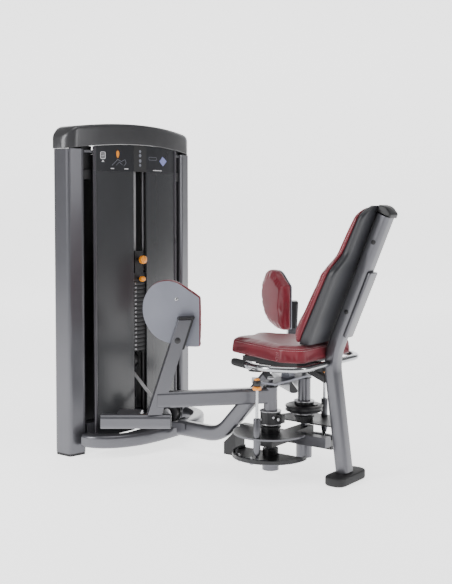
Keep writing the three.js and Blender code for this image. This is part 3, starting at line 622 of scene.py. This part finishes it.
# ---- back shell ----
def rest_x(z):
    return upright_x(z) - 33 / math.cos(math.radians(LEAN)) - 0.5


def between(z, z0, z1, a, b):
    return a + (b - a) * (z - z0) / (z1 - z0)


def shell_x(z):
    return rest_x(z) - between(z, 600, 1120, 54, 30)


def pad_x(z):
    return shell_x(z) - between(z, 640, 1120, 58, 26)


def back_half(z):
    """Half-width of the backrest at a height: wide below, narrow above, with an S-shaped step."""
    t = min(1, max(0, (z - 880) / 95))
    t = t * t * (3 - 2 * t)
    width = 168 + (114 - 168) * t
    top = max(0, (z - 1095) / 68)
    foot = max(0, (640 - z) / 56)
    return width - 74 * min(1, top) ** 3 - 12 * foot**2


def back_rings(front, rear, low, high, corner, count=44):
    rings = []
    for i in range(count + 1):
        z = low + (high - low) * i / count
        x0, x1 = front(z), rear(z)
        half = back_half(z)
        section = rounded_rect(x1 - x0, 2 * half, min(corner, (x1 - x0) * 0.45), 4)
        rings.append([(x + (x0 + x1) / 2, y, z) for x, y in section])
    return rings


shell = build(
    "back_shell_moulding",
    *lofted(back_rings(lambda z: shell_x(z) + 0.3, rest_x, 586, 1161, 14)),
    SHELL, "frame", "shell", ["back_shell"], smooth=60,
)
bevel(shell, 4, 3, 50)


# ---- cushions ----
def simulated(piece, voxel, cap_mm, pressure=4.0, pinned=None, frames=20):
    """Swells a cushion with cloth under pressure, then applies it. The backing face stays flat."""
    bpy.context.view_layer.objects.active = piece
    for o in bpy.context.selected_objects:
        o.select_set(False)
    piece.select_set(True)
    remesh = piece.modifiers.new("skin", "REMESH")
    remesh.mode = "VOXEL"
    remesh.voxel_size = voxel * MM
    bpy.ops.object.modifier_apply(modifier=remesh.name)
    start = np.array([v.co for v in piece.data.vertices], float).reshape(-1, 3)
    group = piece.vertex_groups.new(name="backing")
    for v in piece.data.vertices:
        if pinned(v.co, v.normal):
            group.add([v.index], 1.0, "REPLACE")
    cloth = piece.modifiers.new("cloth", "CLOTH")
    settings = cloth.settings
    settings.quality = 6
    settings.mass = 0.3
    settings.tension_stiffness = 12
    settings.compression_stiffness = 12
    settings.shear_stiffness = 6
    settings.bending_stiffness = 3
    settings.use_pressure = True
    settings.uniform_pressure_force = pressure
    settings.vertex_group_mass = "backing"
    settings.effector_weights.gravity = 0
    cloth.collision_settings.use_collision = False
    scene = bpy.context.scene
    for f in range(1, frames + 1):
        scene.frame_set(f)
    swollen = piece.evaluated_get(bpy.context.evaluated_depsgraph_get())
    after = np.array([v.co for v in swollen.data.vertices], float).reshape(-1, 3)
    piece.modifiers.remove(cloth)
    scene.frame_set(1)
    step = after - start
    length = np.linalg.norm(step, axis=1, keepdims=True)
    step *= np.minimum(1, cap_mm * MM / np.maximum(length, 1e-9))
    piece.data.vertices.foreach_set("co", (start + step).astype(np.float32).ravel())
    piece.data.update()
    relax = piece.modifiers.new("relax", "SMOOTH")
    relax.factor = 0.5
    relax.iterations = 4
    bpy.ops.object.modifier_apply(modifier=relax.name)
    finer = piece.modifiers.new("finer", "SUBSURF")
    finer.levels = 1
    finer.render_levels = 1
    bpy.ops.object.modifier_apply(modifier=finer.name)
    piece.data.shade_smooth()
    return piece


def surface(piece):
    corners = [v.co for v in piece.data.vertices]
    return BVHTree.FromPolygons(corners, [tuple(p.vertices) for p in piece.data.polygons])


def groove(piece, lines, depth, width):
    """Pulls the skin in along seam lines given in metres."""
    co = np.array([v.co for v in piece.data.vertices], float).reshape(-1, 3)
    normals = np.array([v.normal for v in piece.data.vertices], float).reshape(-1, 3)
    near = np.full(len(co), 1e9)
    for line in lines:
        for a, b in zip(line[:-1], line[1:]):
            a, b = np.array(a), np.array(b)
            d = b - a
            t = np.clip((co - a) @ d / max(d @ d, 1e-12), 0, 1)
            near = np.minimum(near, np.linalg.norm(co - a - t[:, None] * d, axis=1))
    pull = depth * MM * np.exp(-((near / (width * MM)) ** 2))
    piece.data.vertices.foreach_set("co", (co - normals * pull[:, None]).astype(np.float32).ravel())
    piece.data.update()


def onto(piece, points, lift=0.0):
    """Points dropped onto the nearest skin, with its normals."""
    tree = surface(piece)
    found = []
    for p in points:
        where, normal, _, _ = tree.find_nearest(Vector(p))
        found.append((where + normal * lift * MM, normal))
    return found


def stitches(name, piece, line, body, mirror=1, length=5.5, pitch=8.5, radius=0.55):
    """A row of thread stitches laid on the skin along a line of points in metres."""
    line = [Vector(p) for p in line]
    runs = np.cumsum([0] + [(b - a).length for a, b in zip(line[:-1], line[1:])])
    count = int(runs[-1] / (pitch * MM))
    spots = []
    for k in range(count):
        for at in (k * pitch, k * pitch + length):
            d = at * MM
            i = min(int(np.searchsorted(runs, d, side="right")) - 1, len(line) - 2)
            t = (d - runs[i]) / max(runs[i + 1] - runs[i], 1e-9)
            spots.append(line[i].lerp(line[i + 1], t))
    laid = onto(piece, spots, 0.25)
    verts, faces = [], []
    for (a, na), (b, nb) in zip(laid[0::2], laid[1::2]):
        along = (b - a).normalized()
        side = along.cross(na).normalized()
        base = len(verts)
        for p, n, r in ((a, na, 0.3), (a.lerp(b, 0.2), na, 1), (a.lerp(b, 0.8), nb, 1), (b, nb, 0.3)):
            for c, s in circle(radius * MM * r, 6):
                verts.append(p + side * c + n * s)
        for ring in range(3):
            for q in range(6):
                first = base + ring * 6
                after = (q + 1) % 6
                faces.append((first + q, first + after, first + 6 + after, first + 6 + q))
        faces += [tuple(base + q for q in range(6)), tuple(base + 18 + q for q in reversed(range(6)))]
    mesh = bpy.data.meshes.new(name)
    mesh.from_pydata(verts, [], faces)
    mesh.materials.append(THREAD)
    thread = bpy.data.objects.new(name, mesh)
    bpy.context.scene.collection.objects.link(thread)
    mesh.shade_smooth()
    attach(thread, body)
    return thread


SEAT_LOW, SEAT_HIGH = 512, 578
seat_outline = rounded_polygon(
    [(16, -112, 45), (366, -238, 45), (468, -198, 50), (468, 198, 50), (366, 238, 45), (16, 112, 45)], 8
)


def shrunk(outline, amount):
    centre = Vector((sum(p[0] for p in outline), sum(p[1] for p in outline))) / len(outline)
    loop = []
    for i, p in enumerate(outline):
        a, b, c = Vector(outline[i - 1]), Vector(p), Vector(outline[(i + 1) % len(outline)])
        edge = (c - a).normalized()
        normal = Vector((-edge.y, edge.x))
        if normal.dot(centre - b) < 0:
            normal = -normal
        loop.append(tuple(b + normal * amount))
    return loop


seat = build(
    "seat_cushion",
    *soft_edged(shrunk(seat_outline, 3), SEAT_LOW, SEAT_HIGH - 3, 12),
    VINYL, "frame", "vinyl", ["seat_pad"],
)
simulated(seat, 6, 8, 4.0, lambda co, n: co.z < (SEAT_LOW + 6) * MM or n.z < -0.6)

# The seat's top seam runs just under its rim, with a row of stitches each side.
# Each flank has an upright seam.
seat_rim = [(x, y, SEAT_HIGH - 5) for x, y in [*shrunk(seat_outline, 3), shrunk(seat_outline, 3)[0]]]
flanks = []
for sign in (-1, 1):
    flanks.append(
        [(352 - 10 * math.sin(t * math.pi), sign * 234, SEAT_LOW + 6 + 56 * t) for t in np.linspace(0, 1, 12)]
    )
seams = [[place(p) for p in line] for line in (seat_rim, *flanks)]
groove(seat, seams, 1.6, 2.6)


def shifted(line, offset):
    return [place(Vector(p) + Vector(offset)) for p in line]


rim_in = [(x, y, SEAT_HIGH) for x, y in [*shrunk(seat_outline, 11), shrunk(seat_outline, 11)[0]]]
stitches("seat_stitches_top", seat, [place(p) for p in rim_in], "frame")
stitches("seat_stitches_side", seat, shifted(seat_rim, (0, 0, -7)), "frame")
for k, (line, side) in enumerate(zip(flanks, ("left", "right"))):
    stitches(f"seat_stitches_{side}_front", seat, shifted(line[:-2], (-6, 0, 0)), "frame")
    stitches(f"seat_stitches_{side}_rear", seat, shifted(line[:-2], (6, 0, 0)), "frame")


def pad_front(z):
    foot = max(0, (668 - z) / 80)
    top = max(0, (z - 1118) / 42)
    return pad_x(z) + 6 + 30 * foot**2 + 13 * top**2


def pad_rings():
    rings = []
    for i in range(60):
        z = 592 + (1156 - 592) * i / 59
        x0, x1 = pad_front(z), shell_x(z) - 0.6
        half = back_half(z) - 5
        corners = [(x1, -half, 3), (x1, half, 3), (x0, half, 16), (x0, -half, 16)]
        rings.append([(x, y, z) for x, y in rounded_polygon(corners, 5)])
    return rings


back = build("back_cushion", *lofted(pad_rings()), VINYL, "frame", "vinyl", ["back_pad"])
simulated(back, 6, 8, 4.0, lambda co, n: (co.x - SHIFT) / MM > shell_x(co.z / MM) - 6)
rim = []
for sign in (-1, 1):
    levels = np.linspace(600, 1150, 60) if sign < 0 else np.linspace(1150, 600, 60)
    rim += [(pad_front(z) + 10, sign * (back_half(z) - 2), z) for z in levels]
rim.append(rim[0])
groove(back, [[place(p) for p in rim]], 1.4, 2.6)
stitches("back_stitches", back, [place(Vector(p) + Vector((7, 0, 0))) for p in rim[:58]], "frame")
stitches("back_stitches_far", back, [place(Vector(p) + Vector((7, 0, 0))) for p in rim[61:118]], "frame")

# ---- knee pads ----
PAD_ANGLE = math.radians(180 + 30)
PAD_FRAME = Matrix.Translation((43, -355, 0)) @ Matrix.Rotation(PAD_ANGLE, 4, "Z")


def knee_outline(grow):
    return rounded_polygon(
        [
            (-grow, 566 - grow, 12), (90, 566 - grow, 400), (192 + grow / 2, 600 - grow, 400),
            (242 + grow, 680, 400), (242 + grow, 770, 400), (190, 838 + grow, 400),
            (110, 846 + grow, 400), (-grow, 772 + grow, 14),
        ],
        8,
    )


def in_pad(part):
    """Pad pieces are drawn as (along the pad, height, depth from the plate's outer face)."""
    turned = Matrix(((1, 0, 0, 0), (0, 0, -1, 0), (0, 1, 0, 0), (0, 0, 0, 1)))
    return moved(part, PAD_FRAME @ turned)


for side, mirror in (("left", 1), ("right", -1)):
    body = f"lever_{side}"
    knee = build(
        f"knee_cushion_{side}",
        *in_pad(soft_edged(knee_outline(4), 6.4, 54, 13)),
        VINYL, body, "vinyl", [f"knee_pad_{side}"], mirror,
    )
    plate_point = place(PAD_FRAME @ Vector((0, -6.4, 0)), mirror)
    plate_normal = (place(PAD_FRAME @ Vector((0, -7.4, 0)), mirror) - plate_point).normalized()
    simulated(
        knee, 5, 7, 4.0,
        lambda co, n, p=plate_point, q=plate_normal: (co - p).dot(q) < 5 * MM,
    )
    loop = knee_outline(5)
    edge = [place(PAD_FRAME @ Vector((s, -48, z)), mirror) for s, z in [*loop, loop[0]]]
    back_edge = [place(PAD_FRAME @ Vector((s, -11, z)), mirror) for s, z in [*loop, loop[0]]]
    groove(knee, [edge, back_edge], 1.3, 2.4)
    build(
        f"pad_screw_{side}",
        *in_pad(merged(moved(screw((0, 0, 0), (0, 0, -1), 8, 4), Matrix.Translation((97, 766, 0))))),
        CHROME, body, "grey_plate", (), mirror,
    )

# ---- lever details, drawn for the left lever and mirrored ----
LEVER_TURN = Matrix.Rotation(math.radians(180 + LEVER_ANGLE), 4, "Z")
LEVER_FRAME = Matrix.Translation((PIVOT_X, -PIVOT_Y, 0)) @ LEVER_TURN
HUB = (PIVOT_X, -PIVOT_Y, 0)
PIN = (PIVOT_X + 24, -PIVOT_Y - 135, 0)


def post_in(z):
    return 472 - 125 * (z - 292.4) / 391.6


def post_out(z):
    return 530 - 130 * (z - 292.4) / 391.6


def arc_strip(radius, width, low, high, start, end, count=40):
    """A strip standing on a circle about the hub, between two angles in degrees."""
    rings = []
    section = ((radius, low), (radius + width, low), (radius + width, high), (radius, high))
    for k in range(count + 1):
        a = math.radians(start + (end - start) * k / count)
        c, s = math.cos(a), math.sin(a)
        rings.append([(HUB[0] + r * c, HUB[1] + r * s, z) for r, z in section])
    return lofted(rings)


for side, mirror in (("left", 1), ("right", -1)):
    lever, cam, start = f"lever_{side}", f"cam_{side}", f"start_pin_{side}"
    leg = prism(
        [
            (post_in(560) - 11, 560), (post_in(560) + 1, 560),
            (post_in(690) + 1, 690), (post_in(697) - 12, 697),
        ],
        -26, 14, "xzy",
    )
    lip = prism(
        [
            (post_in(684) - 12, 685), (post_out(684) + 2, 685),
            (post_out(697) + 1, 697), (post_in(697) - 12, 697),
        ],
        -26, 20, "xzy",
    )
    cradle = moved(merged(leg, lip), LEVER_FRAME)
    bevel(build(f"pad_cradle_{side}", *cradle, BLACK_STEEL, lever, "black_steel", (), mirror), 2)
    middle = (post_in(600) + post_out(600)) / 2 + 4
    plug = lathe([(13, -1), (13, 0.8), (11, 2.2), (0.01, 2.4)], 32, (middle, 22, 600), (0, 1, 0))
    build(f"lever_plugs_{side}", *moved(plug, LEVER_FRAME), BLACK, lever, "black_plastic", (), mirror)
    rear_plug = lathe([(13, -1), (13, 0.8), (11, 2.2), (0.01, 2.4)], 32, (middle + 30, -22, 500), (0, -1, 0))
    rear_plug = moved(rear_plug, LEVER_FRAME)
    build(f"lever_back_plug_{side}", *rear_plug, BLACK, lever, "black_plastic", (), mirror)

    washer = lathe([(15.5, 388.3), (33, 388.3), (34, 389.3), (34, 391), (33, 392), (15.5, 392)], 40, HUB)
    nut = hexagon((HUB[0], HUB[1], 420), (0, 0, 1), 15, 10)
    build(f"pivot_washer_{side}", *washer, BLACK_STEEL, "frame", "black_steel", (), mirror)
    build(f"pivot_nut_{side}", *nut, STEEL, "frame", "frame_paint", (), mirror)
    rings = merged(
        lathe(
            [(30, 283.2), (45.5, 283.2), (46.5, 284.2), (46.5, 286.4), (45.5, 287.4), (30, 287.4)], 44, HUB
        ),
        lathe([(40, 227), (45.2, 227), (46, 228), (46, 231), (45.2, 232), (40, 232)], 44, HUB),
    )
    build(f"hub_rings_{side}", *rings, STEEL, lever, "frame_paint", (), mirror)
    clamp = soft_edged(
        rounded_polygon(
            [
                (HUB[0] + 28, HUB[1] - 15, 3), (HUB[0] + 66, HUB[1] - 15, 5),
                (HUB[0] + 66, HUB[1] + 15, 5), (HUB[0] + 28, HUB[1] + 15, 3),
            ],
            4,
        ),
        238, 274, 3,
    )
    build(f"hub_clamp_{side}", *clamp, BLACK_STEEL, lever, "black_steel", (), mirror)
    if side == "right":
        wheel = [(30, 240), (78, 240), (84, 243), (85, 248), (80, 250)]
        wheel += [(80, 258), (85, 260), (84, 266), (78, 269), (30, 269)]
        build("hub_wheel_right", *lathe(wheel, 56, HUB), BLACK_STEEL, lever, "black_steel", (), mirror)
    bolts = merged(
        hexagon((HUB[0] + 54, HUB[1] - 15, 256), (0, -1, 0), 8, 7),
        hexagon((HUB[0] + 36, HUB[1] - 30, 264), (0.4, -1, 0), 6, 5),
        hexagon((HUB[0] - 20, HUB[1] - 39, 250), (-0.45, -0.9, 0), 6, 5),
    )
    build(f"hub_bolts_{side}", *bolts, STEEL, lever, "frame_paint", (), mirror)

    sleeve = [(0.01, 121.5), (9.5, 121.5), (10.6, 123), (15.1, 141), (15.1, 274), (13.8, 276.6), (8, 276.8)]
    sleeve = lathe([*sleeve, (0.01, 276.8)], 32, PIN)
    build(f"pin_sleeve_{side}", *sleeve, PAINT, lever, "frame_paint", (), mirror)
    stem = [(0.01, 98), (4, 98), (6.3, 103), (6.3, 398), (0.01, 398)]
    build(f"pin_rod_{side}", *lathe(stem, 24, PIN), CHROME, start, "orange", [f"pull_pin_{side}"], mirror)
    collar = [(0.01, 397), (16.5, 397), (18.6, 399.5), (18.9, 405), (17.6, 410.5), (13, 413), (0.01, 413)]
    build(f"pin_collar_{side}", *lathe(collar, 36, PIN), ORANGE, start, "orange", (), mirror)
    knob = [(0.01, 413), (13.5, 413), (15.5, 416), (17.4, 424)]
    knob += [(17.2, 431), (14.5, 436.5), (11, 438), (0.01, 438)]
    build(f"pin_knob_{side}", *lathe(knob, 36, PIN), BLACK, start, "orange", (), mirror)
    button = [(0.01, 438), (11.6, 438), (12.2, 440), (11, 444), (6, 446.4), (0.01, 446.8)]
    build(f"pin_button_{side}", *lathe(button, 32, PIN), ORANGE, start, "orange", (), mirror)

    rim_strip = arc_strip(158.6, 1.9, 189.4, 196.6, 170.2, 369.8)
    build(f"start_disc_rim_{side}", *rim_strip, PAINT, lever, "black_steel", (), mirror)
    tray = merged(
        arc_strip(146, 3, 97.2, 109, 196, 300),
        arc_strip(159.8, 5.6, 91.6, 94.2, 168.6, 371.4),
    )
    build(f"sector_strip_{side}", *tray, PAINT, cam, "black_steel", (), mirror)
    studs = []
    for dx in (-64, 8):
        spot = (HUB[0] + dx, HUB[1] - 151 + abs(dx) / 4)
        studs.append(lathe([(0.01, 97), (5.2, 97), (5.2, 117.8), (4.4, 119), (0.01, 119)], 20, (*spot, 0)))
        studs.append(hexagon((*spot, 91.6), (0, 0, -1), 9, 7))
    build(f"sector_studs_{side}", *merged(*studs), STEEL, cam, "black_steel", (), mirror)

    peg_frame = LEVER_FRAME @ Matrix.Translation((500, 0, 262)) @ Matrix.Rotation(math.radians(-12), 4, "Z")
    ends = merged(
        prism(rounded_rect(42, 56, 14, 6), 222.2, 224, "yzx"),
        prism(rounded_rect(42, 56, 14, 6), -70, -68.2, "yzx"),
    )
    build(f"footrest_ends_{side}", *moved(ends, peg_frame), BLACK, lever, "black_plastic", (), mirror)

# ---- tower details ----
for side, mirror in (("left", 1), ("right", -1)):
    edge_x = front_x(-288) - 6
    edge_round = rounded_rect(15, 17, 7, 6)
    edge = [[(edge_x + u, -288 + v, z) for u, v in edge_round] for z in (66, 1322)]
    # The rolled edge takes the lightened shroud plastic, a painted highlight.
    build(f"shroud_edge_{side}", *lofted(edge), SHROUD_LIT_EDGE, "frame", "shroud", (), mirror)
    header_levels = (1322.4, arch_z(288) - 3)
    header_edge = [[(edge_x + u, -288 + v, z) for u, v in edge_round] for z in header_levels]
    build(f"header_edge_{side}", *lofted(header_edge), SHROUD_LIT_EDGE, "frame", "shroud", (), mirror)
    latch = block(-722, -652, -341.5, -292, 1282, 1326)
    bevel(build(f"tower_latch_{side}", *latch, BLACK, "frame", "black_plastic", (), mirror), 2)
    bead_x = front_x(-46.5) - 8
    bead_round = rounded_rect(8, 5, 2.2, 4)
    bead = [[(bead_x + u, -48 + v, z) for u, v in bead_round] for z in (64, 1321.6)]
    build(f"slot_edge_{side}", *lofted(bead), SHROUD, "frame", "shroud", (), mirror)

for side, mirror in (("left", 1), ("right", -1)):
    buffer_side = [(10, 430.2), (21, 430.2), (22.6, 433), (22.6, 443), (21, 446.4), (10, 446.4)]
    buffer = lathe(buffer_side, 30, (-648, -62, 0))
    build(f"stack_buffer_{side}", *buffer, RUBBER, "frame", "rubber", (), mirror)


def on_front(outlines, lift=0.5, thick=0.9, top=None):
    """Flat print on the bowed front: outlines in (y, z), each a thin solid that follows the bow."""
    parts = []
    for outline in outlines:
        rings = [[(front_x(y) - 4 + offset, y, z) for y, z in outline] for offset in (lift - thick, lift)]
        parts.append(lofted(rings))
    return merged(*parts)


def framed(outline, width):
    """A ring of quads round an outline, for drawn lines."""
    inner = shrunk(outline, width)
    count = len(outline)
    return [[outline[i], outline[(i + 1) % count], inner[(i + 1) % count], inner[i]] for i in range(count)]


def at(outline, y, z):
    return [(u + y, v + z) for u, v in outline]


def bar(y0, z0, y1, z1, width):
    """One straight drawn line."""
    d = Vector((y1 - y0, z1 - z0)).normalized()
    n = Vector((-d.y, d.x)) * width / 2
    return [(y0 + n.x, z0 + n.y), (y1 + n.x, z1 + n.y), (y1 - n.x, z1 - n.y), (y0 - n.x, z0 - n.y)]


strip = []
for k in range(9):
    y = -46 + 92 * k / 8
    strip_top = arch_z(y) - 2
    corners = ((-0.6, 1322.5), (0.5, 1322.5), (0.5, strip_top), (-0.6, strip_top))
    strip.append([(front_x(y) - 4 + x, y, z) for x, z in corners])
build("header_slot", *lofted(strip), BLACK, "frame", "shroud")
rounds = [at(circle(r, 24), 0, z) for r, z in ((7, 1421), (8, 1401), (8.5, 1375), (7, 1354))]
build("header_dots", *on_front(rounds, 0.9, 0.6), GREY_PLATE, "frame", "shroud")
icons = framed(at(rounded_rect(30, 34, 7, 4), -240, 1394), 3)
icons += [bar(-249, z, -231, z, 2) for z in (1400, 1393, 1386)]
icons += [[(-248, 1364), (-232, 1364), (-240, 1373)], at(rounded_rect(112, 4.4, 1.5, 3), -138, 1334)]
icons += [at(rounded_rect(72, 3.6, 1.4, 3), 134, 1332)]
build("header_marks", *on_front(icons), WHITE, "frame", "shroud")
drop = []
for a in np.linspace(0, 2 * math.pi, 28)[:-1]:
    drop.append((-150 + 9 * math.sin(a) * (1 - 0.35 * math.cos(a)), 1402 - 17 * math.cos(a)))
build("header_drop", *on_front([drop]), ORANGE, "frame", "shroud")
route = [(-186, 1349), (-172, 1360), (-150, 1378), (-128, 1368), (-104, 1378), (-96, 1362), (-112, 1347)]
sketch = [bar(*a, *b, 1.8) for a, b in zip(route[:-1], route[1:])]
sketch += [bar(-160, 1350, -140, 1366, 1.6), bar(-140, 1366, -120, 1352, 1.6)]
sketch += framed(at(rounded_rect(62, 16, 6, 4), 96, 1389), 1.8)
build("header_sketch", *on_front(sketch), GREY_PLATE, "frame", "shroud")
diamond = [(150, 1378), (176, 1402), (212, 1380), (180, 1354)]
build("header_diamond", *on_front([diamond]), BLUE, "frame", "shroud")

# ---- rear plate of the upright ----
plate_lean = Matrix.Translation((upright_x(765), 0, 765)) @ Matrix.Rotation(math.radians(LEAN), 4, "Y")
back_plate = soft_edged(rounded_rect(62, 300, 8, 5), 33.4, 47, 3)
turn_up = Matrix(((0, 0, 1, 0), (1, 0, 0, 0), (0, 1, 0, 0), (0, 0, 0, 1)))
build("upright_back_plate", *moved(back_plate, plate_lean @ turn_up), PAINT, "frame", "frame_paint")

# ---- spine wheel and low frame details ----
for y in (-36.5, 36.5):
    sign = 1 if y > 0 else -1
    face = lathe([(24, 0), (24, 2), (20, 3), (9, 3), (9, 6), (0.01, 6)], 32, (-408, y, 168), (0, sign, 0))
    build("spine_wheel_cap_" + ("right" if sign > 0 else "left"), *face, STEEL, "frame", "frame_paint")

# ---- stage and light, in metres ----
# The floor curves up into a backdrop: (distance along its run, height).
SWEEP = [(-5.0, 0), (6.5, 0), (7.7, 0.25), (8.6, 0.9), (9.1, 1.9), (9.3, 3.2), (9.3, 7)]
FLOOR_GLOW, SKY_LIGHT, SKY_SEEN = 1.9, 0.3, 5
floor_mesh = bpy.data.meshes.new("floor")
sweep_run = Vector((-0.604, 0.797))
sweep_side = Vector((0.797, 0.604))
floor_points = [
    (*(sweep_run * reach + sweep_side * across), rise) for reach, rise in SWEEP for across in (-9, 9)
]
floor_faces = [(2 * i, 2 * i + 1, 2 * i + 3, 2 * i + 2) for i in range(len(SWEEP) - 1)]
floor_mesh.from_pydata(floor_points, [], floor_faces)
floor_mesh.shade_smooth()
floor = bpy.data.objects.new("floor", floor_mesh)
paper = material("studio_floor", (246, 246, 246), 0.7, grain=40, bump=0.0, vary=0.004)
paper_shader = paper.node_tree.nodes["Principled BSDF"]
paper_shader.inputs["Emission Color"].default_value = (1, 1, 1, 1)
paper_shader.inputs["Emission Strength"].default_value = FLOOR_GLOW
floor_mesh.materials.append(paper)
floor.location.z = -0.0005
bpy.context.scene.collection.objects.link(floor)

world = bpy.data.worlds.new("studio")
bpy.context.scene.world = world
world.use_nodes = True
sky = world.node_tree.nodes["Background"]
sky.inputs["Color"].default_value = (1, 1, 1, 1)
sky.inputs["Strength"].default_value = SKY_LIGHT
seen = world.node_tree.nodes.new("ShaderNodeBackground")
seen.inputs["Color"].default_value = (1, 1, 1, 1)
seen.inputs["Strength"].default_value = SKY_SEEN
ray = world.node_tree.nodes.new("ShaderNodeLightPath")
either = world.node_tree.nodes.new("ShaderNodeMixShader")
world.node_tree.links.new(ray.outputs["Is Camera Ray"], either.inputs["Fac"])
world.node_tree.links.new(sky.outputs["Background"], either.inputs[1])
world.node_tree.links.new(seen.outputs["Background"], either.inputs[2])
world.node_tree.links.new(either.outputs["Shader"], world.node_tree.nodes["World Output"].inputs["Surface"])


def softbox(name, where, aim, size, power):
    light = bpy.data.lights.new(name, "AREA")
    light.shape = "RECTANGLE"
    light.size, light.size_y = size
    light.energy = power
    lamp = bpy.data.objects.new(name, light)
    lamp.location = where
    lamp.rotation_euler = (Vector(aim) - Vector(where)).to_track_quat("-Z", "Y").to_euler()
    bpy.context.scene.collection.objects.link(lamp)


softbox("key", (-1.4, -3.8, 2.2), (-0.2, 0, 0.7), (1.4, 2.4), 115)
softbox("streak", (3.2, 0.6, 1.9), (-0.4, 0, 0.9), (0.5, 2.2), 28)
softbox("top", (0.2, -0.4, 4.0), (0, 0, 0.5), (2.4, 2.4), 45)
